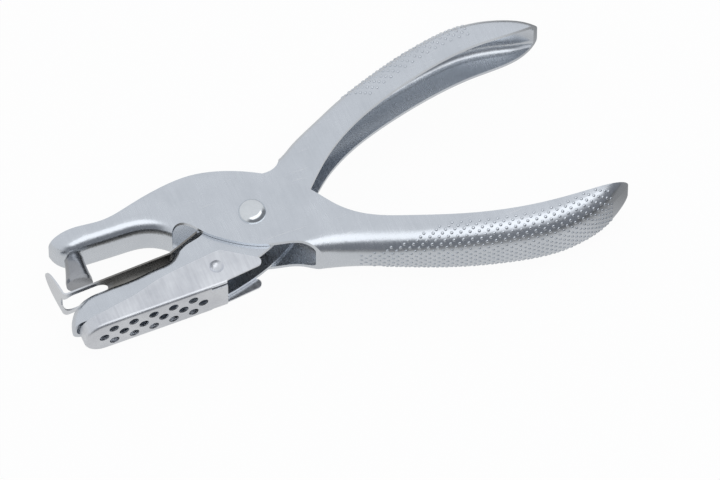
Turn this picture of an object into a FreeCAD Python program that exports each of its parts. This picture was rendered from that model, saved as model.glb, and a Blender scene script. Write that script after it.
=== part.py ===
import FreeCAD, Part
import math
import os

# Plier-type single-hole punch, millimetres. It lies on its side: the two levers cross at a
# pivot whose axis is Z, the jaws point to -X and the handles to +X. The origin is on the
# pivot axis, on the flat of the lower rivet head, which is the surface that the tool lies on.

Vec = FreeCAD.Vector

# ---------------------------------------------------------------- driving sizes
lever_sheet = 1.0          # pressed sheet of both levers
bend_radius = 3.0          # outside radius of the levers' bends at the jaws
punch_handle_bend = 5.0    # the same where each handle starts
die_handle_bend = 3.0
punch_grip_bend = 5.1      # the same along each grip
die_grip_bend = 3.4
tip_bend = 2.2             # the same at the handles' tips
bend_growth_start = 2.0    # pivot axis to where the bends start to grow
upper_nose_radius = 5.2    # outside radius between a jaw's web and its nose
lower_nose_radius = 7.0
punch_lever_width = 11.5   # outside width at the pivot
grip_flare = 1.55          # how much further out each handle cheek stands at the palm
cheek_gap = 0.10           # sliding clearance between the levers' cheeks, each side

jaw_reach = 47.3           # pivot axis to the nose of the lower jaw
upper_jaw_setback = 2.7    # the upper jaw's nose is this much shorter
throat_reach = 18.5        # pivot axis to the root of the throat
handle_start = 10.0        # pivot axis to where the handle webs begin
punch_handle_reach = 81.0  # pivot axis to the tip of the lower handle
die_handle_reach = 77.9    # pivot axis to the tip of the upper handle

cutter_setback = 6.45      # nose of the lower jaw to the axis of the die hole
cutter_diameter = 6.0
cutter_waist = 4.3
cutter_land = 0.9          # straight length behind the cutting edge
cutter_neck_height = 3.4   # cutting edge to the neck
cutter_neck_flare = 0.35   # how much wider the neck is than the waist, each side
cutter_waist_height = 6.0  # cutting edge to the waist
cutter_blank_height = 9.0  # cutting edge to a place inside the upper jaw
cutter_open_height = 4.9   # cutting edge above the die face when the handles are open
cutter_stroke_past = 1.4   # how far the cutting edge passes the die face
cutter_lean = 9.6          # degrees away from the die hole's axis when the handles are open
cutter_spigot = 3.4        # riveted end of the cutter in the upper jaw
cutter_rivet_head = 5.0
cutter_rivet_height = 0.8
cutter_rivet_gap = 0.15    # web of the upper jaw to the riveted end
die_clearance = 0.20       # round the cutter in the die hole, each side

die_face = -4.7            # height of the lower jaw's web in Y
upper_jaw_face = 6.2       # height of the upper jaw's web in Y

strip_sheet = 0.4
strip_side_gap = 0.25      # between the strip and the punch lever's cheeks, each side
strip_rail = 1.3           # strip left each side of its hole
strip_hole_front = 6.2     # die hole's axis to the front end of the strip's hole
strip_hole_back = 5.2      # die hole's axis to the back end of the strip's hole
strip_rise = 0.04          # slope of the strip towards the throat
strip_level_ahead = 5.0    # die hole's axis to where the strip would be level with its front end
strip_kink_ahead = 2.1     # root of the throat to where the strip turns towards the sleeve
strip_roll_turn = 200.0    # degrees of the strip's roll round the sleeve
strip_tongue = 2.4         # width of the strip's rear end, which is rolled round the sleeve
strip_tongue_side = 0.8    # mid-plane to the tongue
strip_tongue_start = 13.0  # pivot axis to where the strip narrows
strip_tongue_height = 0.6  # height in Y of the strip's middle there
strip_tongue_lap = 0.2     # from there to where the strip turns to its roll
paper_gap = 1.35           # between the die face and the strip
leaf_ahead = 5.45          # die hole's axis to the foot of the strip's upright leaf
leaf_height = 8.7
leaf_lean = 0.9
leaf_bend = 1.0
leaf_foot_lean = 0.05
leaf_root = 0.3            # leaf's foot to its widest place below, and to the end of the strip's hole above

rivet_shank = 4.0
rivet_head = 6.15
rivet_head_flat = 3.6
near_head_height = 1.3
head_rim = 0.35            # straight edge of a rivet head
head_crown = 0.13          # height of the dome's arc over its chord, as a share of the chord
sleeve_diameter = 5.6
sleeve_running_gap = 0.05
sleeve_end_gap = 0.02

spring_wire = 0.9
spring_inner_gap = 0.3     # between the sleeve and the coil
spring_turns = 3
spring_pitch = 1.0
spring_leg_gap = 0.15      # between a leg's tip and the web that it presses on
spring_side_gap = 0.15     # between the coil and the lower cheek
die_web_at_leg = 14.2      # height of each handle's web over the tip of the spring's leg
punch_web_at_leg = -16.9
leg_web_slope = 25.0       # degrees, of the webs at those places

tray_sheet = 0.4
tray_side_gap = 0.10       # between the tray and the lower jaw, each side
tray_floor = -14.5         # outside of the tray's floor in Y
tray_front_edge = -11.2    # upper edge of the tray's nose in Y
tray_edge_gap = 0.3        # between that edge and the rim of the lower jaw's nose
tray_rear = 11.6           # pivot axis to the rear edge of the tray's floor
tray_bend = 0.9
tray_nose_setback = 1.6    # nose of the lower jaw to the nose of the tray
tray_nose_flat = 0.3       # width left flat between the two rounded corners of the tray's nose
tray_first_hole = 6.2      # nose of the lower jaw to the first hole of the middle row
tray_hole = 2.3
tray_hole_pitch = 4.72
tray_row_pitch = 2.5
tray_row_holes = 5
tray_hinge = Vec(-12.4, -9.7, 0)
tray_slot_length = 3.8     # cut at each rear corner of the floor
tray_slot_top = -14.1
dimple_diameter = 3.6
dimple_depth = 0.75
dimple_gap = 0.08

# ---------------------------------------------------------------- derived places
far_head_height = grip_flare    # the lower head and the palm ends of the handles lie in one plane
mid_z = far_head_height + punch_lever_width / 2
punch_half = punch_lever_width / 2
die_half = punch_half - lever_sheet - cheek_gap
palm_half = punch_half + grip_flare
upper_nose = -(jaw_reach - upper_jaw_setback)
lower_nose = -jaw_reach
die_hole_x = lower_nose + cutter_setback
die_hole_radius = cutter_diameter / 2 + die_clearance
cutter_swing = math.hypot(die_hole_x, die_face - cutter_stroke_past / 2)
cutter_edge_y = die_face + cutter_open_height
cutter_edge = Vec(-math.sqrt(cutter_swing**2 - cutter_edge_y**2), cutter_edge_y, mid_z)
cutter_axis = Vec(math.sin(math.radians(cutter_lean)), math.cos(math.radians(cutter_lean)), 0)
strip_face = die_face + paper_gap
strip_width = 2 * (punch_half - lever_sheet - strip_side_gap)
leaf_x = die_hole_x - leaf_ahead
tray_half = die_half + tray_side_gap + tray_sheet
punch_leg_share = 0.10     # how far along each handle the tip of the spring's leg lies
die_leg_share = 0.07
far_out = 200.0


# ---------------------------------------------------------------- geometry helpers
def at(point, z=0.0):
    return Vec(point[0], point[1], z)


def polyline(points):
    return [Part.LineSegment(a, b).toShape() for a, b in zip(points, points[1:])]


def curve(points, start=None, end=None):
    shape = Part.BSplineCurve()
    if start is None:
        shape.interpolate(points)
    else:
        shape.interpolate(Points=points, InitialTangent=start, FinalTangent=end)
    return shape.toShape()


def slab(edges, low_z, high_z):
    face = Part.Face(Part.Wire(edges))
    face.translate(Vec(0, 0, low_z))
    return face.extrude(Vec(0, 0, high_z - low_z))


def through(edges):
    return slab(edges, mid_z - far_out, mid_z + far_out)


def rod(radius, start, end):
    axis = end - start
    return Part.makeCylinder(radius, axis.Length, start, axis)


def single(shape):
    return max(shape.Solids, key=lambda solid: solid.Volume)


def mirrored(shape):
    return shape.mirror(Vec(0, 0, 0), Vec(0, 1, 0))


def turned_over(points):
    return [(x, -y) for x, y in points]


def jaw_x(nose, share):
    return -throat_reach + share * (nose + throat_reach)


def handle_x(reach, share):
    return handle_start + share * (reach - handle_start)


# ---------------------------------------------------------------- levers
handle_marks = (0.06, 0.33, 0.75, 1.03)    # shares of a handle between which its bends grow or shrink


def flank_plan(nose, nose_taper, half, flare, reach):
    """Plan of one lever: narrowed nose, straight cheeks at the pivot, flared handle, rounded tip."""
    palm = half + flare
    handle_half = [(0.06, half), (0.18, half + 0.2 * flare), (0.33, half + 0.55 * flare),
                   (0.60, half + 0.92 * flare), (0.75, palm - 0.03), (0.87, palm - 0.33), (0.935, palm - 1.1),
                   (0.97, palm - 2.1), (1.0, palm - 3.4), (1.03, palm - 4.9)]
    ahead = Vec(1, 0, 0)
    start = [Vec(nose + behind, -far_out, half * (1 - taper)) for behind, taper in nose_taper]
    finish = [Vec(handle_x(reach, share), -far_out, half_here) for share, half_here in handle_half]
    handle = Part.BSplineCurve()
    handle.interpolate(Points=finish, InitialTangent=ahead, FinalTangent=finish[-1] - finish[-2])
    marks = [handle.parameter(place) for place, knot in zip(finish, handle_half) if knot[0] in handle_marks]
    near = [curve(start, start[1] - start[0], ahead)]
    near += polyline([start[-1], Vec(bend_growth_start, -far_out, half), finish[0]])
    near += [handle.toShape(begin, end) for begin, end in zip(marks, marks[1:])]
    far = [edge.mirror(Vec(0, 0, 0), Vec(0, 0, 1)) for edge in near]
    ends = [Part.LineSegment(p, Vec(p.x, p.y, -p.z)).toShape() for p in (start[0], finish[-1])]
    face = Part.Face(Part.Wire(Part.__sortEdges__(near + far + ends)))
    face.translate(Vec(0, 0, mid_z))
    return face.extrude(Vec(0, 2 * far_out, 0))


def bend_edges(body, top_y, half):
    """The lengthwise edges between web and cheeks, without the top face and the cheeks' seams."""
    chosen = []
    for edge in body.Edges:
        box = edge.BoundBox
        upright = box.XLength < 1e-6 and box.ZLength < 1e-6
        inner_seam = upright and body.BoundBox.XMin + 1 < box.XMin < body.BoundBox.XMax - 0.5
        if box.ZLength < half and box.YMin < top_y - 1e-6 and not inner_seam:
            chosen.append(edge)
    return chosen


def bend_at(x, reach, handle_bend, grip_bend):
    """Outside radius of a lever's bends at this distance from the pivot axis."""
    places = [bend_growth_start] + [handle_x(reach, share) for share in handle_marks]
    radii = [bend_radius, handle_bend, grip_bend, grip_bend, tip_bend]
    marks = list(zip(places, radii))
    for (begin, first), (end, last) in zip(marks, marks[1:]):
        if x < end:
            return first + (last - first) * max(0, (x - begin) / (end - begin))
    return tip_bend


def rounded(body, edges, radius_at):
    """The body with these edges rounded: the radius changes from one end of an edge to the other.

    Edges that run on into each other take their radii in the direction of the first of them, so
    the radii of an edge that is drawn the other way along X are given in reverse.
    """
    document = FreeCAD.newDocument("rounding")
    base = document.addObject("Part::Feature", "base")
    base.Shape = body
    fillet = document.addObject("Part::Fillet", "fillet")
    fillet.Base = base
    rows = []
    directions = {}
    for number, edge in enumerate(body.Edges, 1):
        if any(edge.isSame(wanted) for wanted in edges):
            begin = edge.valueAt(edge.FirstParameter)
            end = edge.valueAt(edge.LastParameter)
            radii = [radius_at(begin.x), radius_at(end.x)]
            if abs(end.x - begin.x) > 1e-6:
                ahead = end.x > begin.x
                if directions.setdefault(edge.CenterOfMass.z > mid_z, ahead) != ahead:
                    radii.reverse()
            rows.append((number, *radii))
    fillet.Edges = rows
    document.recompute()
    shape = fillet.Shape.copy()
    FreeCAD.closeDocument(document.Name)
    return shape


def channel(web_points, rim_points, nose_radius, nose_taper, half, flare, reach, handle_bend, grip_bend):
    """A pressed channel with its web towards -Y, closed at the nose and the tip.

    It is drawn taller than the lever, rounded along the bends, hollowed, and then cut down
    to the rim, which is the cheeks' free edge. Returns the lever and the same body unhollowed.
    """
    top_y = 60.0
    web = [at(p) for p in web_points]
    nose_top = web[0] + Vec(-nose_radius, nose_radius, 0)
    nose_middle = web[0] + Vec(-nose_radius * math.sqrt(0.5), nose_radius * (1 - math.sqrt(0.5)), 0)
    side_edges = [Part.Arc(nose_top, nose_middle, web[0]).toShape(), curve(web, Vec(1, 0, 0), Vec(0, 1, 0))]
    side_edges += polyline([web[-1], Vec(web[-1].x, top_y, 0), Vec(nose_top.x, top_y, 0), nose_top])
    body = single(through(side_edges).common(flank_plan(nose_top.x, nose_taper, half, flare, reach)))
    body = single(rounded(body, bend_edges(body, top_y, half),
                          lambda x: bend_at(x, reach, handle_bend, grip_bend)))
    top = [face for face in body.Faces if face.BoundBox.YMin > top_y - 0.1]
    shell = body.makeThickness(top, -lever_sheet, 1e-3)
    rim = [curve([at(p) for p in rim_points])]
    first = rim_points[0]
    last = rim_points[-1]
    rim += polyline([at(last), at((last[0], 2 * top_y)), at((first[0], 2 * top_y)), at(first)])
    above = through(rim)
    return single(shell.cut(above)), single(body.cut(above))


def make_punch_lever():
    nose = upper_nose
    face = upper_jaw_face
    reach = punch_handle_reach
    web = [
        (nose + upper_nose_radius, face), (jaw_x(nose, 0.65), face - 0.1),
        (jaw_x(nose, 0.4), face - 0.35), (jaw_x(nose, 0.2), face - 0.9),
        (jaw_x(nose, 0.07), face - 2.6), (-throat_reach + 2.0, -0.5), (-10, -7.0), (0, -12.0),
        (handle_x(reach, 0), -14.3), (handle_x(reach, punch_leg_share), punch_web_at_leg),
        (handle_x(reach, 0.2), -20.0),
        (handle_x(reach, 0.33), -23.6), (handle_x(reach, 0.46), -26.7), (handle_x(reach, 0.60), -29.2),
        (handle_x(reach, 0.72), -30.4), (handle_x(reach, 0.81), -30.0), (handle_x(reach, 0.89), -28.4),
        (handle_x(reach, 0.955), -25.9), (handle_x(reach, 1.0), -23.3), (handle_x(reach, 1.02), -20.0),
        (handle_x(reach, 1.03), -15.0),
    ]
    rim = [
        (2 * nose, 10.4), (nose, 10.6), (jaw_x(nose, 0.83), 11.3), (jaw_x(nose, 0.5), 10.6),
        (jaw_x(nose, 0.22), 12.0), (-16.0, 13.6), (-10.0, 13.9), (0, 11.3), (6.0, 8.1), (13.6, 1.3),
        (18.6, -6.0), (handle_x(reach, 0.2), -10.8), (handle_x(reach, 0.3), -14.2),
        (handle_x(reach, 0.48), -19.1), (handle_x(reach, 0.72), -23.0), (handle_x(reach, 0.88), -23.7),
        (handle_x(reach, 1.0), -23.5), (handle_x(reach, 1.3), -23.0),
    ]
    nose_taper = [(-0.8, 0.50), (0.7, 0.30), (2.8, 0.13), (5.5, 0.035), (8.0, 0)]
    lever, filled = channel(web, rim, upper_nose_radius, nose_taper, punch_half, grip_flare, reach,
                            punch_handle_bend, punch_grip_bend)

    opening = [
        (-throat_reach + 0.1, 1.0), (-throat_reach + 0.9, 3.0), (-15.7, 3.3), (-14.1, 2.3), (-12.0, -0.5),
        (-8.5, -3.9), (-5.4, -6.2), (0, -8.9), (4.5, -10.0), (7.4, -11.1), (9.7, -13.0),
        (handle_start + 1.5, -15.4), (handle_start + 2.5, -18.5),
    ]
    cut = [curve([at(p) for p in opening])]
    cut += polyline([at(opening[-1]), Vec(handle_start + 2.5, -40, 0), Vec(-throat_reach + 0.1, -40, 0),
                     at(opening[0])])
    lever = single(lever.cut(through(cut)))
    lever = lever.cut(rod(rivet_shank / 2, Vec(0, 0, -far_out), Vec(0, 0, far_out)))
    spigot = rod(cutter_spigot / 2, cutter_edge, cutter_edge + cutter_axis * far_out)
    return single(lever.cut(spigot)), filled


def make_die_lever():
    nose = lower_nose
    face = die_face
    reach = die_handle_reach
    web = [
        (nose + lower_nose_radius, face), (jaw_x(nose, 0.62), face + 0.15),
        (jaw_x(nose, 0.4), face + 0.3), (jaw_x(nose, 0.22), face + 0.9),
        (-throat_reach - 2.5, face + 1.5), (-throat_reach + 0.5, 0.5), (-14.0, 4.2), (-8.0, 8.0), (0, 10.8),
        (handle_x(reach, 0.02), 12.2), (handle_x(reach, die_leg_share), die_web_at_leg),
        (handle_x(reach, 0.17), 17.4),
        (handle_x(reach, 0.27), 20.3), (handle_x(reach, 0.38), 22.9), (handle_x(reach, 0.51), 25.4),
        (handle_x(reach, 0.62), 26.9), (handle_x(reach, 0.72), 27.6), (handle_x(reach, 0.79), 27.3),
        (handle_x(reach, 0.86), 26.3), (handle_x(reach, 0.92), 24.9), (handle_x(reach, 0.97), 23.4),
        (handle_x(reach, 1.0), 21.9), (handle_x(reach, 1.02), 19.0), (handle_x(reach, 1.03), 14.0),
    ]
    rim = [
        (2 * nose, tray_front_edge + tray_edge_gap), (nose, tray_front_edge + tray_edge_gap),
        (nose + 3.4, tray_front_edge + tray_edge_gap), (nose + 6.5, -12.2), (jaw_x(nose, 0.4), -13.1),
        (-15.0, -13.2),
        (-10.4, -12.5), (-3.0, -10.6), (2.3, -8.5), (7.6, -5.3), (14.4, 1.2), (handle_x(reach, 0.17), 7.8),
        (handle_x(reach, 0.30), 12.9), (handle_x(reach, 0.46), 16.7), (handle_x(reach, 0.65), 19.6),
        (handle_x(reach, 0.77), 20.4), (handle_x(reach, 0.88), 20.4), (handle_x(reach, 0.95), 20.9),
        (handle_x(reach, 1.0), 22.0), (handle_x(reach, 1.3), 30.0),
    ]
    nose_taper = [(-0.8, 0.77), (0.2, 0.59), (1.5, 0.41), (3.5, 0.237), (6.0, 0.075), (9.0, 0)]
    lever = channel(turned_over(web), turned_over(rim), lower_nose_radius, nose_taper, die_half,
                    palm_half - die_half, reach, die_handle_bend, die_grip_bend)[0]
    lever = mirrored(lever)

    opening = [
        (-throat_reach - 2.5, -2.6), (-throat_reach - 1.3, -2.9), (-16.7, -1.9), (-11.9, -0.4),
        (-10.5, 1.2), (-8.5, 3.9), (-5.4, 6.2), (0, 8.5), (5.0, 9.0), (7.8, 8.9), (9.9, 9.9),
        (handle_start + 1.1, 12.0), (handle_start + 1.3, 15.0),
    ]
    cut = [curve([at(p) for p in opening])]
    cut += polyline([at(opening[-1]), Vec(handle_start + 1.3, 40, 0), Vec(-throat_reach - 2.5, 40, 0),
                     at(opening[0])])
    lever = single(lever.cut(through(cut)))
    lever = lever.cut(rod(sleeve_diameter / 2 + sleeve_running_gap, Vec(0, 0, -far_out), Vec(0, 0, far_out)))
    lever = lever.cut(rod(die_hole_radius, Vec(die_hole_x, die_face - 4, mid_z), Vec(die_hole_x, 10, mid_z)))
    dimple_hole = rod(dimple_diameter / 2 + dimple_gap, tray_hinge - Vec(0, 0, far_out),
                      tray_hinge + Vec(0, 0, far_out))
    return single(lever.cut(dimple_hole))


# ---------------------------------------------------------------- cutter, strip, pivot and spring
def make_punch_pin(lever, filled_lever):
    """Waisted cutter, seated on the upper jaw's web and riveted over inside it."""
    waist = cutter_waist / 2
    profile = [Vec(0, 0, 0), Vec(cutter_diameter / 2, 0, 0), Vec(cutter_diameter / 2, cutter_land, 0)]
    neck = [profile[-1], Vec(waist + cutter_neck_flare, cutter_neck_height, 0),
            Vec(waist, cutter_waist_height, 0)]
    top = [neck[-1], Vec(waist, cutter_blank_height, 0), Vec(0, cutter_blank_height, 0), Vec(0, 0, 0)]
    edges = polyline(profile) + [curve(neck)] + polyline(top)
    blank = Part.Face(Part.Wire(edges)).revolve(Vec(0, 0, 0), Vec(0, 1, 0), 360)
    blank.rotate(Vec(0, 0, 0), Vec(0, 0, 1), -cutter_lean)
    blank.translate(cutter_edge)
    seat = blank.cut(filled_lever)
    seat = min(seat.Solids, key=lambda solid: solid.CenterOfMass.distanceToPoint(cutter_edge))
    web_depth = (upper_jaw_face - cutter_edge_y) / math.cos(math.radians(cutter_lean)) + lever_sheet
    head_start = cutter_edge + cutter_axis * (web_depth + cutter_rivet_gap)
    head = rod(cutter_rivet_head / 2, head_start, head_start + cutter_axis * cutter_rivet_height)
    spigot = rod(cutter_spigot / 2, cutter_edge + cutter_axis * cutter_neck_height, head_start)
    return single(seat.fuse(spigot).fuse(head.cut(lever)).removeSplitter())


def make_stripper_plate():
    """Thin strip over the die: an upright leaf, a flat with a long hole, and a rolled rear end."""
    flat_start = Vec(leaf_x + leaf_bend, strip_face + strip_sheet / 2 - strip_rise * strip_level_ahead, 0)
    bend_x = -throat_reach - strip_kink_ahead
    flat_end = flat_start + Vec(bend_x - flat_start.x, strip_rise * (bend_x - flat_start.x), 0)
    leaf_foot = Vec(leaf_x - leaf_foot_lean, flat_start.y + leaf_bend, 0)
    leaf_tip = leaf_foot + Vec(-leaf_lean, leaf_height - leaf_bend, 0)
    narrow = Vec(-strip_tongue_start + strip_tongue_lap, strip_tongue_height, 0)
    roll = sleeve_diameter / 2 + sleeve_running_gap + strip_sheet / 2
    reach = narrow.Length
    turn = math.atan2(narrow.y, narrow.x) - math.acos(roll / reach)
    touch = Vec(roll * math.cos(turn), roll * math.sin(turn), 0)
    sweep = -math.radians(strip_roll_turn)
    roll_mid = Vec(roll * math.cos(turn + sweep / 2), roll * math.sin(turn + sweep / 2), 0)
    roll_end = Vec(roll * math.cos(turn + sweep), roll * math.sin(turn + sweep), 0)
    corner = leaf_foot + Vec(0.22 * leaf_bend, -0.72 * leaf_bend, 0)
    path = [
        Part.LineSegment(leaf_tip, leaf_foot).toShape(),
        Part.Arc(leaf_foot, corner, flat_start).toShape(),
        Part.LineSegment(flat_start, flat_end).toShape(),
        Part.LineSegment(flat_end, narrow).toShape(),
        Part.LineSegment(narrow, touch).toShape(),
        Part.Arc(touch, roll_mid, roll_end).toShape(),
    ]
    centre_line = Part.Wire(path)
    ribbon = centre_line.makeOffset2D(strip_sheet / 2, 2, True, True, False)
    ribbon = ribbon.fuse(centre_line.makeOffset2D(-strip_sheet / 2, 2, True, True, False)).removeSplitter()
    ribbon.translate(Vec(0, 0, mid_z - strip_width / 2))
    strip = ribbon.extrude(Vec(0, 0, strip_width))

    tongue_room = Part.makeBox(far_out, 2 * far_out, strip_tongue,
                               Vec(-strip_tongue_start, -far_out, mid_z + strip_tongue_side))
    wide_room = Part.makeBox(far_out, 2 * far_out, 2 * far_out,
                             Vec(-strip_tongue_start - far_out, -far_out, mid_z - far_out))
    strip = strip.common(wide_room.fuse(tongue_room))

    hole_radius = strip_width / 2 - strip_rail
    low_y = flat_start.y - 2 * strip_sheet
    tall = Vec(0, leaf_foot.y + leaf_root - low_y, 0)
    front = Vec(die_hole_x - strip_hole_front + hole_radius, low_y, mid_z)
    back = Vec(die_hole_x + strip_hole_back - hole_radius, low_y, mid_z)
    hole = rod(hole_radius, front, front + tall).fuse(rod(hole_radius, back, back + tall))
    hole = hole.fuse(Part.makeBox(back.x - front.x, tall.y, 2 * hole_radius, front - Vec(0, 0, hole_radius)))
    strip = strip.cut(hole)

    leaf_base_y = leaf_foot.y - leaf_root
    room_start = leaf_x - 2 * leaf_lean
    room_length = 2 * leaf_lean + 2 * leaf_bend
    outline = Part.Ellipse(Vec(0, 0, 0), leaf_tip.y - leaf_base_y, strip_width / 2).toShape()
    outline = Part.Face(Part.Wire(outline))
    outline.rotate(Vec(0, 0, 0), Vec(0, 0, 1), 90)
    outline.rotate(Vec(0, 0, 0), Vec(0, 1, 0), 90)
    outline.translate(Vec(room_start, leaf_base_y, mid_z))
    leaf_room = outline.extrude(Vec(room_length, 0, 0))
    around = Part.makeBox(room_length, far_out, 2 * far_out, Vec(room_start, leaf_base_y, mid_z - far_out))
    corner_room = around.cut(leaf_room)
    return single(strip.cut(corner_room))


def rivet_dome(base_z, height, direction):
    """Domed rivet head with a flat centre, turned about the pivot axis."""
    rim = rivet_head / 2
    flat = rivet_head_flat / 2
    chord = Vec(flat - rim, 0, height - head_rim)
    bulge = Vec((rim + flat) / 2, 0, (height + head_rim) / 2) + Vec(chord.z, 0, -chord.x) * head_crown
    edges = polyline([Vec(0, 0, 0), Vec(rim, 0, 0), Vec(rim, 0, head_rim)])
    edges.append(Part.Arc(Vec(rim, 0, head_rim), bulge, Vec(flat, 0, height)).toShape())
    edges += polyline([Vec(flat, 0, height), Vec(0, 0, height), Vec(0, 0, 0)])
    head = Part.Face(Part.Wire(edges)).revolve(Vec(0, 0, 0), Vec(0, 0, 1), 360)
    if direction < 0:
        head.rotate(Vec(0, 0, 0), Vec(1, 0, 0), 180)
    head.translate(Vec(0, 0, base_z))
    return head


def make_pivot_rivet():
    low = mid_z - punch_half
    high = mid_z + punch_half
    shank = rod(rivet_shank / 2, Vec(0, 0, low), Vec(0, 0, high))
    rivet = shank.fuse(rivet_dome(high, near_head_height, 1)).fuse(rivet_dome(low, far_head_height, -1))
    return single(rivet.removeSplitter())


def make_pivot_sleeve():
    half = punch_half - lever_sheet - sleeve_end_gap
    low = Vec(0, 0, mid_z - half)
    high = Vec(0, 0, mid_z + half)
    return single(rod(sleeve_diameter / 2, low, high).cut(rod(rivet_shank / 2, low, high)))


def make_return_spring():
    """Torsion spring round the sleeve, with one leg in each handle's channel."""
    coil = sleeve_diameter / 2 + spring_inner_gap + spring_wire / 2
    start_z = mid_z - die_half + lever_sheet + spring_wire / 2 + spring_side_gap
    clear = (lever_sheet + spring_wire / 2 + spring_leg_gap) / math.cos(math.radians(leg_web_slope))
    inner_bend = punch_handle_bend - lever_sheet
    into_bend = mid_z - start_z + spring_wire / 2 - (punch_half - punch_handle_bend)
    bend_rise = inner_bend - math.sqrt(inner_bend**2 - into_bend**2)
    lower_tip = Vec(handle_x(punch_handle_reach, punch_leg_share), punch_web_at_leg + clear + bend_rise, 0)
    upper_tip = Vec(handle_x(die_handle_reach, die_leg_share), die_web_at_leg - clear, 0)
    lower_leg = math.sqrt(lower_tip.Length**2 - coil**2)
    upper_leg = math.sqrt(upper_tip.Length**2 - coil**2)
    start = math.atan2(lower_tip.y, lower_tip.x) + math.atan2(lower_leg, coil)
    finish = math.atan2(upper_tip.y, upper_tip.x) - math.atan2(upper_leg, coil)
    turns = spring_turns + (finish - start) / (2 * math.pi)
    height = turns * spring_pitch

    section = Part.Wire(Part.Circle(Vec(coil, 0, 0), Vec(0, 1, 0), spring_wire / 2).toShape())
    spring = Part.Wire(Part.makeHelix(spring_pitch, height, coil).Edges).makePipeShell([section], True, True)
    spring.rotate(Vec(0, 0, 0), Vec(0, 0, 1), math.degrees(start))
    spring.translate(Vec(0, 0, start_z))
    coil_start = Vec(coil * math.cos(start), coil * math.sin(start), start_z)
    coil_end = Vec(coil * math.cos(finish), coil * math.sin(finish), start_z + height)
    lower_end = lower_tip + Vec(0, 0, start_z)
    upper_end = upper_tip + Vec(0, 0, start_z + height)
    legs = [rod(spring_wire / 2, coil_start, lower_end), rod(spring_wire / 2, coil_end, upper_end)]
    return single(spring.multiFuse(legs, 1e-3))


# ---------------------------------------------------------------- chip tray
def make_chip_tray():
    """Thin tray that wraps the lower jaw's underside: it turns on two dimples pressed into its ears."""
    nose = lower_nose + tray_nose_setback
    back_x = 0.0
    blank_top = tray_floor + 30
    body = Part.makeBox(back_x - nose, blank_top - tray_floor, 2 * tray_half,
                        Vec(nose, tray_floor, mid_z - tray_half))
    uprights = [edge for edge in body.Edges
                if edge.BoundBox.XMax < nose + 1e-6 and edge.BoundBox.YLength > 1]
    body = body.makeFillet(tray_half - tray_nose_flat / 2, uprights)
    bends = [edge for edge in body.Edges
             if edge.BoundBox.YMax < tray_floor + 1e-6 and edge.BoundBox.XMin < back_x - 1e-6]
    body = body.makeFillet(tray_bend, bends)
    opened = [face for face in body.Faces
              if face.BoundBox.YMin > blank_top - 0.1 or face.BoundBox.XMin > back_x - 0.1]
    shell = single(body.makeThickness(opened, -tray_sheet, 1e-3))

    hinge_x = tray_hinge.x
    upper_edge = [
        (2 * nose, tray_front_edge), (nose, tray_front_edge), (nose + 2.5, tray_front_edge),
        (nose + 5.5, -11.0), (jaw_x(nose, 0.66), -10.35), (jaw_x(nose, 0.49), -9.6),
        (jaw_x(nose, 0.3), -8.1), (-21.7, -7.2), (hinge_x, -6.1),
    ]
    ear = [Vec(hinge_x, -6.1, 0), Vec(-10.2, -6.0, 0), Vec(-3.4, -10.7, 0)]
    ear_corner = Part.Arc(ear[-1], Vec(-2.7, -12.1, 0), Vec(-3.8, -13.0, 0)).toShape()
    floor_back = -tray_rear
    outline = [curve([at(p) for p in upper_edge])] + polyline(ear) + [ear_corner]
    outline += polyline([Vec(-3.8, -13.0, 0), Vec(floor_back, -13.8, 0), Vec(floor_back, -30, 0),
                         Vec(2 * nose, -30, 0), at(upper_edge[0])])
    tray = shell.common(through(outline))

    slot_depth = tray_bend + tray_sheet
    for side_z in (mid_z - tray_half - slot_depth, mid_z + tray_half - slot_depth):
        slot_room = Part.makeBox(tray_slot_length, far_out, 2 * slot_depth,
                                 Vec(floor_back - tray_slot_length, tray_slot_top - far_out, side_z))
        tray = tray.cut(slot_room)

    for row, offset_z in ((0, -tray_row_pitch), (1, 0.0), (2, tray_row_pitch)):
        middle = row == 1
        count = tray_row_holes + (1 if middle else 0)
        first_x = lower_nose + tray_first_hole + (0 if middle else tray_hole_pitch / 2)
        for index in range(count):
            place = Vec(first_x + index * tray_hole_pitch, tray_floor - tray_sheet, mid_z + offset_z)
            tray = tray.cut(rod(tray_hole / 2, place, place + Vec(0, 3 * tray_sheet, 0)))

    rise = tray_side_gap + dimple_depth
    ball = ((dimple_diameter / 2)**2 + rise**2) / (2 * rise)
    for side in (-1, 1):
        inward = Vec(0, 0, -side)
        skin = tray_hinge + Vec(0, 0, mid_z + side * tray_half)
        centre = skin + inward * (tray_sheet + rise - ball)
        inside = rod(dimple_diameter, skin + inward * tray_sheet / 2, skin + inward * (tray_sheet + 2 * rise))
        tray = tray.fuse(Part.makeSphere(ball, centre).common(inside))
        tray = tray.cut(Part.makeSphere(ball - tray_sheet, centre))
    return single(tray.removeSplitter())


parts = {}
punch_lever, punch_lever_filled = make_punch_lever()
parts["punch_lever"] = punch_lever
parts["die_lever"] = make_die_lever()
parts["punch_pin"] = make_punch_pin(punch_lever, punch_lever_filled)
parts["stripper_plate"] = make_stripper_plate()
parts["pivot_rivet"] = make_pivot_rivet()
parts["pivot_sleeve"] = make_pivot_sleeve()
parts["return_spring"] = make_return_spring()
parts["chip_tray"] = make_chip_tray()

os.makedirs("parts", exist_ok=True)
for name, shape in parts.items():
    box = shape.BoundBox
    print(name, len(shape.Solids), "valid" if shape.isValid() else "INVALID", round(shape.Volume, 2),
          [round(v, 2) for v in (box.XMin, box.XMax, box.YMin, box.YMax, box.ZMin, box.ZMax)])
    shape.exportStep("parts/" + name + ".step")
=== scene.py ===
import math

import bmesh
import bpy
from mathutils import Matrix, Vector
from mathutils.bvhtree import BVHTree


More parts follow.
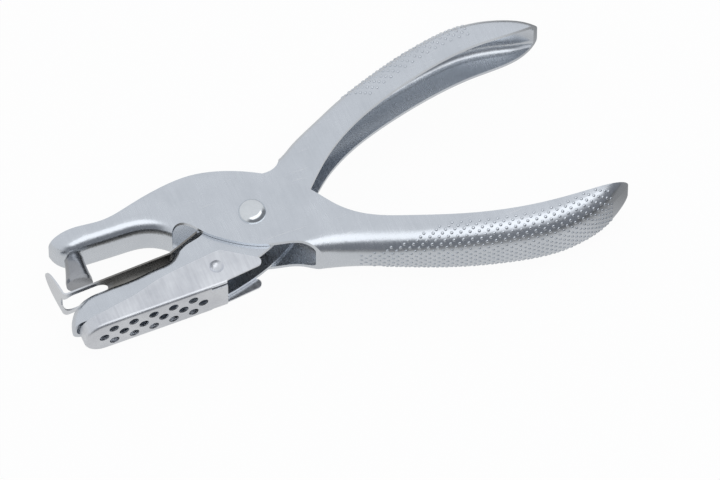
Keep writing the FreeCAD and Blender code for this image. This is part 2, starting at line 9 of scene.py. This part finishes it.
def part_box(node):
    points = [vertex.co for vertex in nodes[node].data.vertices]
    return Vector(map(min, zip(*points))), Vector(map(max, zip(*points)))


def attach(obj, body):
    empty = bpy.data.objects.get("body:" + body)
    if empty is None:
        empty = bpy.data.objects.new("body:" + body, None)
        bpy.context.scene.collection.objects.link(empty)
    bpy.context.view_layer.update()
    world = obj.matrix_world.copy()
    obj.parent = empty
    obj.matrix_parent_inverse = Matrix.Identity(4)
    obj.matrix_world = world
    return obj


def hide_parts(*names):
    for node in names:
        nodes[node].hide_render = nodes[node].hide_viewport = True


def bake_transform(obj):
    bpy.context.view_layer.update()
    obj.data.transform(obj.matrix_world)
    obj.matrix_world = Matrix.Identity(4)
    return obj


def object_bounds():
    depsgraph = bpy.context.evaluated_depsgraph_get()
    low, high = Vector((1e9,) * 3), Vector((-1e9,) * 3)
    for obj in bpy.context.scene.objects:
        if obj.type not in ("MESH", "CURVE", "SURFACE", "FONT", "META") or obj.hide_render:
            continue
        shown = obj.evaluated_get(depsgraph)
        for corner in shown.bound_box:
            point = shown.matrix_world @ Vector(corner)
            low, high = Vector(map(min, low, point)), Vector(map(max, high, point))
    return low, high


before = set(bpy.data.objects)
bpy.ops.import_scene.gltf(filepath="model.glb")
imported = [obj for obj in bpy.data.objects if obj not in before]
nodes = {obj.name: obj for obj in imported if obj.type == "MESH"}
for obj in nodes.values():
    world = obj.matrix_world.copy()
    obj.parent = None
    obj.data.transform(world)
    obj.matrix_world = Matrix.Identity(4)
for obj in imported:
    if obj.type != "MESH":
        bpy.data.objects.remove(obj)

# Finish, light and camera for a plier-type hole punch that lies on its side. Everything is in
# metres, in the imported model's frame: the pivot axis is Z, the jaws point to -X.

MM = 0.001
RIVET_HEAD_HEIGHT = 1.3 * MM
cad_low, cad_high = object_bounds()

sleeve_low, sleeve_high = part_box("pivot_sleeve")
mid_z = (sleeve_low[2] + sleeve_high[2]) / 2
near_cheek_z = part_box("pivot_rivet")[1][2] - RIVET_HEAD_HEIGHT


# ---------------------------------------------------------------- measures of the levers
FAR_OUT = 0.1               # a ray that starts this far from the pivot axis starts outside the object
PROBE_DEPTH = 4.5 * MM      # web to the place that a section is measured from
PROBE_REACH = 0.03          # that place to where the section's rays start
PROBE_ANGLES = range(90, -40, -2)   # degrees: 90 is through the web, 0 is through the cheek
NEAREST_SKIN = 2.0 * MM     # a ray that ends nearer to that place has slipped past the rim


def surface(node):
    made = bmesh.new()
    made.from_mesh(nodes[node].data)
    tree = BVHTree.FromBMesh(made)
    made.free()
    return tree


def web_place(tree, x, outward):
    """The outside of a lever's web at x, where outward is the web's side: 1 for +Y, -1 for -Y."""
    return tree.ray_cast(Vector((x, outward * FAR_OUT, mid_z)), Vector((0, -outward, 0)))[0]


def section(tree, x, outward, side):
    """Outside of one half of the lever at x, from the web's middle to the rim: lengths, points, normals."""
    centre = web_place(tree, x, outward) - Vector((0, outward * PROBE_DEPTH, 0))
    found = []
    for degrees in PROBE_ANGLES:
        angle = math.radians(degrees)
        ray = Vector((0, outward * math.sin(angle), side * math.cos(angle)))
        point, normal = tree.ray_cast(centre + ray * PROBE_REACH, -ray)[:2]
        if point is None or (point - centre).dot(ray) < NEAREST_SKIN:
            break
        length = found[-1][0] + (point - found[-1][1]).length if found else 0.0
        found.append((length, point, normal))
    return found


# ---------------------------------------------------------------- node helpers
class Nodes:
    """A node tree, with short calls for the few node kinds that are used here."""

    def __init__(self, tree):
        self.tree = tree

    def node(self, kind, **settings):
        made = self.tree.nodes.new(kind)
        for key, value in settings.items():
            setattr(made, key, value)
        return made

    def link(self, source, target):
        self.tree.links.new(source, target)

    def give(self, socket, value):
        """A number or a colour sets the socket, and anything else is linked to it."""
        if isinstance(value, (int, float)):
            socket.default_value = value
        elif isinstance(value, tuple):
            socket.default_value = (*value, 1.0)
        else:
            self.link(value, socket)

    def spread(self, value, low, high, to_low=0, to_high=1, kind="LINEAR"):
        ranged = self.node("ShaderNodeMapRange", clamp=True, interpolation_type=kind)
        sockets = ("Value", "From Min", "From Max", "To Min", "To Max")
        for socket, given in zip(sockets, (value, low, high, to_low, to_high)):
            self.give(ranged.inputs[socket], given)
        return ranged.outputs["Result"]

    def math(self, operation, first, second=0.0):
        made = self.node("ShaderNodeMath", operation=operation)
        for socket, value in zip(made.inputs, (first, second)):
            self.give(socket, value)
        return made.outputs["Value"]

    def blend(self, kind, share, first, second):
        made = self.node("ShaderNodeMixRGB", blend_type=kind)
        for socket, value in zip(made.inputs, (share, first, second)):
            self.give(socket, value)
        return made.outputs["Color"]

    def mix(self, share, first, second):
        """One shader where share is 0, the other where it is 1."""
        made = self.node("ShaderNodeMixShader")
        for socket, value in zip(made.inputs, (share, first, second)):
            self.give(socket, value)
        return made.outputs["Shader"]


class Shading(Nodes):
    """A material's node tree, round its Principled shader."""

    def __init__(self, name):
        self.material = bpy.data.materials.new(name)
        self.material.use_nodes = True
        super().__init__(self.material.node_tree)
        self.shader = self.tree.nodes["Principled BSDF"]

    def place(self, scale, turn=(0, 0, 0)):
        """Object position in millimetres, turned and stretched."""
        coordinates = self.node("ShaderNodeTexCoord")
        mapping = self.node("ShaderNodeMapping")
        mapping.inputs["Scale"].default_value = [axis / MM for axis in scale]
        mapping.inputs["Rotation"].default_value = [math.radians(angle) for angle in turn]
        self.link(coordinates.outputs["Object"], mapping.inputs["Vector"])
        return mapping.outputs["Vector"]

    def axes(self):
        """Object position in millimetres, as three values."""
        split = self.node("ShaderNodeSeparateXYZ")
        self.link(self.place((1, 1, 1)), split.inputs["Vector"])
        return split.outputs

    def noise(self, scale, turn=(0, 0, 0), detail=3.0, roughness=0.55, distortion=0.0):
        """Noise whose waves per millimetre along X, Y and Z are the three numbers of scale."""
        texture = self.node("ShaderNodeTexNoise")
        texture.inputs["Scale"].default_value = 1.0
        texture.inputs["Detail"].default_value = detail
        texture.inputs["Roughness"].default_value = roughness
        texture.inputs["Distortion"].default_value = distortion
        self.link(self.place(scale, turn), texture.inputs["Vector"])
        return texture.outputs["Fac"]

    def ramp(self, value, low_color, high_color):
        made = self.node("ShaderNodeValToRGB")
        for element, color in zip(made.color_ramp.elements, (low_color, high_color)):
            element.color = (*color, 1.0)
        self.link(value, made.inputs["Fac"])
        return made.outputs["Color"]

    def curve(self, value, points):
        """A smooth line through the points, whose coordinates all lie between 0 and 1."""
        made = self.node("ShaderNodeFloatCurve")
        line = made.mapping.curves[0]
        for _ in range(len(points) - 2):
            line.points.new(0.5, 0.5)
        for place, (x, y) in zip(line.points, points):
            place.location = (x, y)
        made.mapping.update()
        self.link(value, made.inputs["Value"])
        return made.outputs["Value"]

    def bump(self, height, strength, depth, below=None):
        made = self.node("ShaderNodeBump")
        made.inputs["Strength"].default_value = strength
        made.inputs["Distance"].default_value = depth
        self.link(height, made.inputs["Height"])
        if below is not None:
            self.link(below, made.inputs["Normal"])
        return made.outputs["Normal"]

    def set(self, **values):
        for name, value in values.items():
            self.give(self.shader.inputs[name.replace("_", " ")], value)


# ---------------------------------------------------------------- metal
CLOUD_SCALE = (0.13, 0.13, 0.13)    # waves per millimetre
FINE_SCALE = (3.2, 3.2, 3.2)
PIT_SCALE = (1.1, 1.1, 1.1)
SCRATCH_SCALE = (0.09, 1.7, 1.7)
SCRATCH_TURN = 63                   # degrees from the grain
CLOUD_RANGE = (0.32, 0.68)          # noise at which the tone is darkest and lightest
GRAIN_RANGE = (0.35, 0.65)          # the same for the streaks
PIT_RANGE = (0.69, 0.76)            # noise at which a pit starts and is full
SCRATCH_RANGE = (0.66, 0.70)        # the same for a scratch
GRAIN_GLOSS_RANGE = (0.3, 0.7)      # noise over which the roughness grows
CLOUD_GLOSS_RANGE = (0.35, 0.7)
CLOUD_GLOSS = 0.06                  # roughness that the clouds add
SCRATCH_GLOSS = 0.2
PIT_SHARE = 0.35                    # of the pits' colour in the tone
STREAK_DARK = (0.86, 0.86, 0.87)
STREAK_LIGHT = (1, 1, 1)
SCRATCH_COLOR = (0.86, 0.87, 0.88)
PIT_COLOR = (0.30, 0.29, 0.28)
# painted shade: a dark brownish colour that stands in for the shade and dark reflections inside the closed
# jaws
PAINTED_SHADE_COLOR = (0.34, 0.32, 0.29)
SHADE_EDGE_RANGE = (0.3, 0.7)          # noise over which the painted shade's edge moves
SHADE_EDGE_WANDER = 3                  # millimetres that the painted shade's edge moves to and fro
GRAIN_RELIEF = 0.35                 # strengths of the height maps
FINE_RELIEF = 0.22
PIT_RELIEF = 0.3
SCRATCH_RELIEF = 0.3
FINE_DEPTH = 0.02 * MM
PIT_DEPTH = 0.03 * MM
SCRATCH_DEPTH = 0.02 * MM
CROWN_DEPTH = 8.0                   # millimetres of cheek, up from the web, that fall away
CROWN_DROP = 0.11 * MM              # their fall at the web, for each millimetre of CROWN_DEPTH
CROWN_SWELL = (14.0, 50.0)          # where along X the crown starts and is full, in millimetres
MAP_LENGTH = 100.0                  # millimetres that stand for 1 in the crown's curve, along X
MAP_HEIGHT = 40.0                   # and along Y


def crown(look, web_line):
    """Height map of a handle's slightly crowned cheeks, which fall away towards the web.

    web_line gives the web's place in Y at each place in X, in millimetres.
    """
    x, y, _ = look.axes()
    along = look.spread(x, 0, MAP_LENGTH)
    web = look.curve(along, [(place / MAP_LENGTH, abs(height) / MAP_HEIGHT) for place, height in web_line])
    reach = look.math("MULTIPLY", look.math("ABSOLUTE", y), 1 / MAP_HEIGHT)
    above_web = look.math("MULTIPLY", look.math("SUBTRACT", web, reach), MAP_HEIGHT)
    fall = look.math("MULTIPLY", look.spread(above_web, 0, CROWN_DEPTH, 1, 0),
                     look.spread(above_web, 0, CROWN_DEPTH, CROWN_DEPTH, 0))
    return look.math("MULTIPLY", fall, look.spread(x, *CROWN_SWELL))


def painted_shade(look, cloudy, start, end):
    """Share of painted shade along X, from none at start to full at end, in millimetres, with a cloudy edge.
    """
    wander = look.spread(cloudy, *SHADE_EDGE_RANGE, -SHADE_EDGE_WANDER, SHADE_EDGE_WANDER)
    return look.spread(look.math("ADD", look.axes()["X"], wander), start, end)


def metal(name, dark, light, rough, grain, turn=0, grain_depth=0.02, mottle=1.0, streak=0.5,
          scratched=0.3, web_line=None, shaded_span=None):
    """Bare or plated metal: drawn grain, cloudy tone, fine scratches, tiny pits, slightly uneven gloss and,
    where asked, painted shade along X.

    grain is in waves per millimetre, turn in degrees about Z, grain_depth in millimetres.
    """
    look = Shading(name)
    grained = look.noise(grain, (0, 0, turn), detail=5.0, roughness=0.62)
    cloudy = look.noise(CLOUD_SCALE, detail=4.0)
    fine = look.noise(FINE_SCALE, detail=2.0)
    pits = look.spread(look.noise(PIT_SCALE, detail=6.0, roughness=0.7), *PIT_RANGE)
    scratches = look.noise(SCRATCH_SCALE, (0, 0, turn + SCRATCH_TURN), distortion=0.3)
    scratches = look.spread(scratches, *SCRATCH_RANGE, 0, scratched)

    tone = look.ramp(look.spread(cloudy, *CLOUD_RANGE), dark, light)
    streaks = look.ramp(look.spread(grained, *GRAIN_RANGE), STREAK_DARK, STREAK_LIGHT)
    tone = look.blend("MULTIPLY", streak, tone, streaks)
    # painted shade: the tone darkens along X where the jaws close over the part
    if shaded_span:
        tone = look.blend("MULTIPLY", painted_shade(look, cloudy, *shaded_span), tone, PAINTED_SHADE_COLOR)
    tone = look.blend("MIX", scratches, tone, SCRATCH_COLOR)
    tone = look.blend("MIX", look.math("MULTIPLY", pits, PIT_SHARE), tone, PIT_COLOR)

    gloss = look.math("ADD", look.spread(grained, *GRAIN_GLOSS_RANGE, *rough),
                      look.spread(cloudy, *CLOUD_GLOSS_RANGE, 0.0, CLOUD_GLOSS * mottle))
    gloss = look.math("ADD", gloss, look.math("MULTIPLY", scratches, SCRATCH_GLOSS))

    relief = look.bump(grained, GRAIN_RELIEF, grain_depth * MM)
    relief = look.bump(fine, FINE_RELIEF * mottle, FINE_DEPTH, relief)
    relief = look.bump(pits, PIT_RELIEF, -PIT_DEPTH, relief)
    relief = look.bump(scratches, SCRATCH_RELIEF, -SCRATCH_DEPTH, relief)
    if web_line:
        relief = look.bump(crown(look, web_line), 1.0, -CROWN_DROP, relief)
    look.set(Base_Color=tone, Metallic=1.0, Roughness=gloss, Normal=relief)
    return look.material


# ---------------------------------------------------------------- finishes
PUNCH_WEB = ((0, -12.0), (10, -14.3), (17.1, -16.9), (24.2, -20.0), (33.4, -23.6), (42.7, -26.7),
             (52.6, -29.2), (61.1, -30.4), (67.5, -30.0), (73.2, -28.4), (77.8, -25.9), (81.0, -23.3),
             (100, -10.0))  # outer lever's web, and its line on past the tip, in millimetres
STRIP_UNSHADED = 7            # millimetres of the strip, from its free end, without painted shade
STRIP_FULLY_SHADED = 11        # free end of the strip to where the painted shade is full


def lever_plating(name, turn, web_line=None):
    """Satin nickel over pressed steel, with a faint grain across the lever."""
    return metal(name, (0.685, 0.72, 0.765), (0.75, 0.785, 0.83), (0.19, 0.26), (2.4, 0.16, 0.5), turn,
                 grain_depth=0.008, streak=0.3, web_line=web_line)


def tray_zinc():
    """Galvanised thin sheet with scratches across the rolling direction."""
    return metal("tray_zinc", (0.73, 0.75, 0.79), (0.90, 0.92, 0.95), (0.30, 0.42), (1.8, 0.14, 1.8), -12,
                 grain_depth=0.02, streak=0.7, scratched=0.5)


def strip_steel():
    """Bright at its free end; where the jaws close over it, painted shade darkens it."""
    free_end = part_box("stripper_plate")[0][0] / MM
    return metal("strip_steel", (0.76, 0.78, 0.81), (0.84, 0.86, 0.89), (0.20, 0.30), (0.12, 3.0, 3.0),
                 shaded_span=(free_end + STRIP_UNSHADED, free_end + STRIP_FULLY_SHADED))


def rivet_plating():
    return metal("rivet_plating", (0.78, 0.81, 0.83), (0.87, 0.90, 0.92), (0.10, 0.17), (1.5, 1.5, 1.5),
                 grain_depth=0.006, mottle=0.6, streak=0.3, scratched=0.1)


def cutter_steel():
    return metal("cutter_steel", (0.33, 0.34, 0.36), (0.46, 0.47, 0.49), (0.14, 0.24), (0.6, 5.0, 0.6),
                 scratched=0.1)


def sleeve_steel():
    return metal("sleeve_steel", (0.56, 0.53, 0.49), (0.68, 0.65, 0.60), (0.28, 0.4), (2.0, 2.0, 0.3))


def spring_steel():
    return metal("spring_steel", (0.38, 0.37, 0.36), (0.50, 0.49, 0.48), (0.25, 0.38), (2.0, 2.0, 2.0))


finishes = {
    "punch_lever": lever_plating("punch_lever_plating", 6, PUNCH_WEB),
    "die_lever": lever_plating("die_lever_plating", -18),
    "punch_pin": cutter_steel(),
    "stripper_plate": strip_steel(),
    "pivot_rivet": rivet_plating(),
    "pivot_sleeve": sleeve_steel(),
    "return_spring": spring_steel(),
    "chip_tray": tray_zinc(),
}
for node, material in finishes.items():
    mesh = nodes[node].data
    mesh.materials.clear()
    mesh.materials.append(material)


# ---------------------------------------------------------------- grip bumps
BUMP_PITCH = 2.03 * MM      # along the handle
ROW_PITCH = 0.88 * MM       # round the handle
BUMP_RADIUS = 0.40 * MM
BUMP_HEIGHT = 0.20 * MM
BUMP_SIDES = 12
BUMP_RINGS = ((1.0, -0.2), (0.86, 0.45), (0.55, 0.85))  # shares of the radius and of the height
RIM_MARGIN = 0.7 * MM       # left bare along the rim


def add_bump(made, point, normal):
    """A low closed dome whose rim is sunk just below the skin, which curves away from it."""
    side = normal.orthogonal().normalized()
    other = normal.cross(side)
    rings = []
    for share, height in BUMP_RINGS:
        centre = point + normal * (height * BUMP_HEIGHT)
        ring = []
        for step in range(BUMP_SIDES):
            angle = 2 * math.pi * step / BUMP_SIDES
            around = side * math.cos(angle) + other * math.sin(angle)
            ring.append(made.verts.new(centre + around * (BUMP_RADIUS * share)))
        rings.append(ring)
    top = made.verts.new(point + normal * BUMP_HEIGHT)
    made.faces.new(list(reversed(rings[0])))
    for step in range(BUMP_SIDES):
        after = (step + 1) % BUMP_SIDES
        for outer, inner in zip(rings, rings[1:]):
            made.faces.new((outer[step], outer[after], inner[after], inner[step]))
        made.faces.new((rings[-1][step], rings[-1][after], top))


def place_on(found, length):
    """The point and normal this far round a section, or None where it is too near the rim."""
    if length > found[-1][0] - RIM_MARGIN:
        return None
    for (first, start, normal), (second, end, _) in zip(found, found[1:]):
        if second >= length:
            return start.lerp(end, (length - first) / (second - first)), normal
    return None


def along_web(tree, outward, first_x, last_x):
    """Distances from the pivot, half a bump's pitch apart along the web."""
    marks = [first_x]
    while marks[-1] < last_x:
        x = marks[-1]
        slope = (web_place(tree, x + MM, outward).y - web_place(tree, x, outward).y) / MM
        marks.append(x + BUMP_PITCH / 2 / math.sqrt(1 + slope * slope))
    return marks


def grip(node, body, outward, top_row_depth, top_row_x, slant, first_x, last_x):
    """Raised bumps in staggered rows round a handle, over its web and top_row_depth up each cheek.

    The rows furthest up start at top_row_x, and each row nearer the web's middle starts one slant
    nearer to the pivot than the row above it, but not before first_x.
    """
    tree = surface(node)
    stations = along_web(tree, outward, first_x, last_x)
    sections = {side: [section(tree, x, outward, side) for x in stations] for side in (-1, 1)}
    widest = section(tree, (top_row_x + last_x) / 2, outward, 1)
    web_y = widest[0][1].y
    reach = max(length for length, point, _ in widest if abs(point.y - web_y) < top_row_depth)
    top_row = round(reach / ROW_PITCH)
    made = bmesh.new()
    for row in range(-top_row, top_row + 1):
        side = -1 if row < 0 else 1
        row_start = max(first_x, top_row_x - slant * (top_row - abs(row)))
        for index, x in enumerate(stations):
            place = place_on(sections[side][index], abs(row) * ROW_PITCH)
            if index % 2 != row % 2 or x < row_start or place is None:
                continue
            point, normal = place
            if (point + normal * BUMP_HEIGHT).z > cad_low.z:
                add_bump(made, point, normal)
    mesh = bpy.data.meshes.new(node + "_grip_bumps")
    made.to_mesh(mesh)
    made.free()
    for polygon in mesh.polygons:
        polygon.use_smooth = True
    mesh.materials.append(finishes[node])
    bumps = bpy.data.objects.new(node + "_grip_bumps", mesh)
    bpy.context.scene.collection.objects.link(bumps)
    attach(bumps, body)


grip("punch_lever", "punch_side", outward=-1, top_row_depth=5.6 * MM, top_row_x=38.0 * MM, slant=1.9 * MM,
     first_x=19.0 * MM, last_x=75.0 * MM)
grip("die_lever", "die_side", outward=1, top_row_depth=4.2 * MM, top_row_x=34.0 * MM, slant=0.7 * MM,
     first_x=29.0 * MM, last_x=61.5 * MM)


# ---------------------------------------------------------------- return spring
def wound_spring():
    """The return spring: a fixed copy of its part, which takes the part's place."""
    spring = bpy.data.objects.new("return_spring_wire", nodes["return_spring"].data.copy())
    bpy.context.scene.collection.objects.link(spring)
    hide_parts("return_spring")
    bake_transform(spring)


wound_spring()


# ---------------------------------------------------------------- floor
FLOOR_SIZE = 3.0
FLOOR_X = 0.015             # the floor's middle
FLOOR_DROP = 0.02 * MM      # below the object's lowest point
FLOOR_WHITE = 0.95          # its colour, and the share of plain white that the camera sees there
FLOOR_ROUGHNESS = 0.9
REFLECTED_Y = (-80, -48)    # millimetres in Y, from its middle, over which the reflected floor grows lighter
REFLECTED_LEVELS = (0.24, 0.68)
REFLECTED_X = (56, 70)      # and in X, over which it fades again
REFLECTED_FADE = 0.42


def make_floor():
    """Pale floor that keeps the object's shadow. In reflections it is a lit patch round the object."""
    look = Shading("floor_white")
    look.set(Base_Color=(FLOOR_WHITE, FLOOR_WHITE, FLOOR_WHITE), Roughness=FLOOR_ROUGHNESS)
    path = look.node("ShaderNodeLightPath").outputs
    glossy = path["Is Glossy Ray"]
    x, y, _ = look.axes()
    reflected = look.math("MULTIPLY", look.spread(y, *REFLECTED_Y, *REFLECTED_LEVELS),
                          look.spread(x, *REFLECTED_X, 1.0, REFLECTED_FADE))
    strength = look.math("ADD", look.math("MULTIPLY", reflected, glossy), look.math("SUBTRACT", 1.0, glossy))
    glow = look.node("ShaderNodeEmission")
    look.give(glow.inputs["Color"], (1, 1, 1))
    look.give(glow.inputs["Strength"], strength)
    seen = look.math("MAXIMUM", path["Is Camera Ray"], path["Is Transmission Ray"])
    seen = look.math("MAXIMUM", look.math("MULTIPLY", seen, FLOOR_WHITE), glossy)
    shown = look.mix(seen, look.shader.outputs["BSDF"], glow.outputs["Emission"])
    look.link(shown, look.tree.nodes["Material Output"].inputs["Surface"])
    bpy.ops.mesh.primitive_plane_add(size=FLOOR_SIZE, location=(FLOOR_X, 0, cad_low.z - FLOOR_DROP))
    floor = bpy.context.object
    floor.name = "floor"
    floor.data.materials.append(look.material)


# ---------------------------------------------------------------- world and lamp
ROOM_COLOR = (0.72, 0.735, 0.76)
DIM_COLOR = (0.20, 0.21, 0.23)
DIM_DIRECTION = (0.45, -0.89, 0)    # from the object to the dim wall
DIM_WIDTH = (0.0, 0.45)     # cosines from that direction at which the wall starts and is fully dim
DIM_TOP = (0.76, 0.58)      # heights, as sines of their angles, at which it starts and is fully dim
LAMP_PLACE = (0.16, -0.25, 0.80)
LAMP_SIZE = (1.2, 0.52)
LAMP_WATTS = 1.2


def make_world():
    """White to the camera; for everything else a bright studio with a dim wall on the camera's side."""
    world = bpy.data.worlds.new("studio")
    bpy.context.scene.world = world
    world.use_nodes = True
    studio = Nodes(world.node_tree)
    studio.tree.nodes.clear()
    direction = studio.node("ShaderNodeTexCoord").outputs["Generated"]
    split = studio.node("ShaderNodeSeparateXYZ")
    studio.link(direction, split.inputs["Vector"])
    front = studio.node("ShaderNodeVectorMath", operation="DOT_PRODUCT")
    front.inputs[1].default_value = DIM_DIRECTION
    studio.link(direction, front.inputs[0])
    dim = studio.math("MULTIPLY", studio.spread(front.outputs["Value"], *DIM_WIDTH, kind="SMOOTHSTEP"),
                      studio.spread(split.outputs["Z"], *DIM_TOP, kind="SMOOTHSTEP"))
    lit = studio.node("ShaderNodeBackground")
    studio.give(lit.inputs["Color"], studio.blend("MIX", dim, ROOM_COLOR, DIM_COLOR))
    white = studio.node("ShaderNodeBackground")
    studio.give(white.inputs["Color"], (1, 1, 1))
    path = studio.node("ShaderNodeLightPath").outputs
    clear = studio.math("MAXIMUM", path["Is Camera Ray"], path["Is Transmission Ray"])
    shown = studio.mix(clear, lit.outputs["Background"], white.outputs["Background"])
    studio.link(shown, studio.node("ShaderNodeOutputWorld").inputs["Surface"])


def make_lamp():
    """A large soft box over the object, turned towards it."""
    data = bpy.data.lights.new("overhead", "AREA")
    data.shape = "RECTANGLE"
    data.size, data.size_y = LAMP_SIZE
    data.energy = LAMP_WATTS
    lamp = bpy.data.objects.new("overhead", data)
    lamp.location = LAMP_PLACE
    lamp.rotation_euler = (-Vector(LAMP_PLACE)).to_track_quat("-Z", "Y").to_euler()
    bpy.context.scene.collection.objects.link(lamp)


# ---------------------------------------------------------------- camera
LENS = 600.0                # millimetres
VIEW_WIDTH = 0.160          # at the object
AZIMUTH = math.radians(-22.2)
ELEVATION = math.radians(60)
VIEW_RIGHT = 23.98 * MM     # pivot, at the near cheek, to the middle of the view
VIEW_DOWN = 6.31 * MM
NEAREST, FARTHEST = 0.1, 10     # what the camera sees, as shares of its distance


def make_camera():
    right = Vector((math.cos(AZIMUTH), math.sin(AZIMUTH), 0))
    back = Vector((math.sin(AZIMUTH) * math.cos(ELEVATION), -math.cos(AZIMUTH) * math.cos(ELEVATION),
                   math.sin(ELEVATION)))
    up = back.cross(right)
    target = Vector((0, 0, near_cheek_z)) + right * VIEW_RIGHT - up * VIEW_DOWN
    data = bpy.data.cameras.new("camera")
    data.lens = LENS
    distance = VIEW_WIDTH * LENS / data.sensor_width
    data.clip_start = distance * NEAREST
    data.clip_end = distance * FARTHEST
    camera = bpy.data.objects.new("camera", data)
    camera.location = target + back * distance
    camera.rotation_euler = back.to_track_quat("Z", "Y").to_euler()
    bpy.context.scene.collection.objects.link(camera)
    bpy.context.scene.camera = camera


make_floor()
make_world()
make_lamp()
make_camera()
bpy.context.scene.view_settings.view_transform = "Standard"
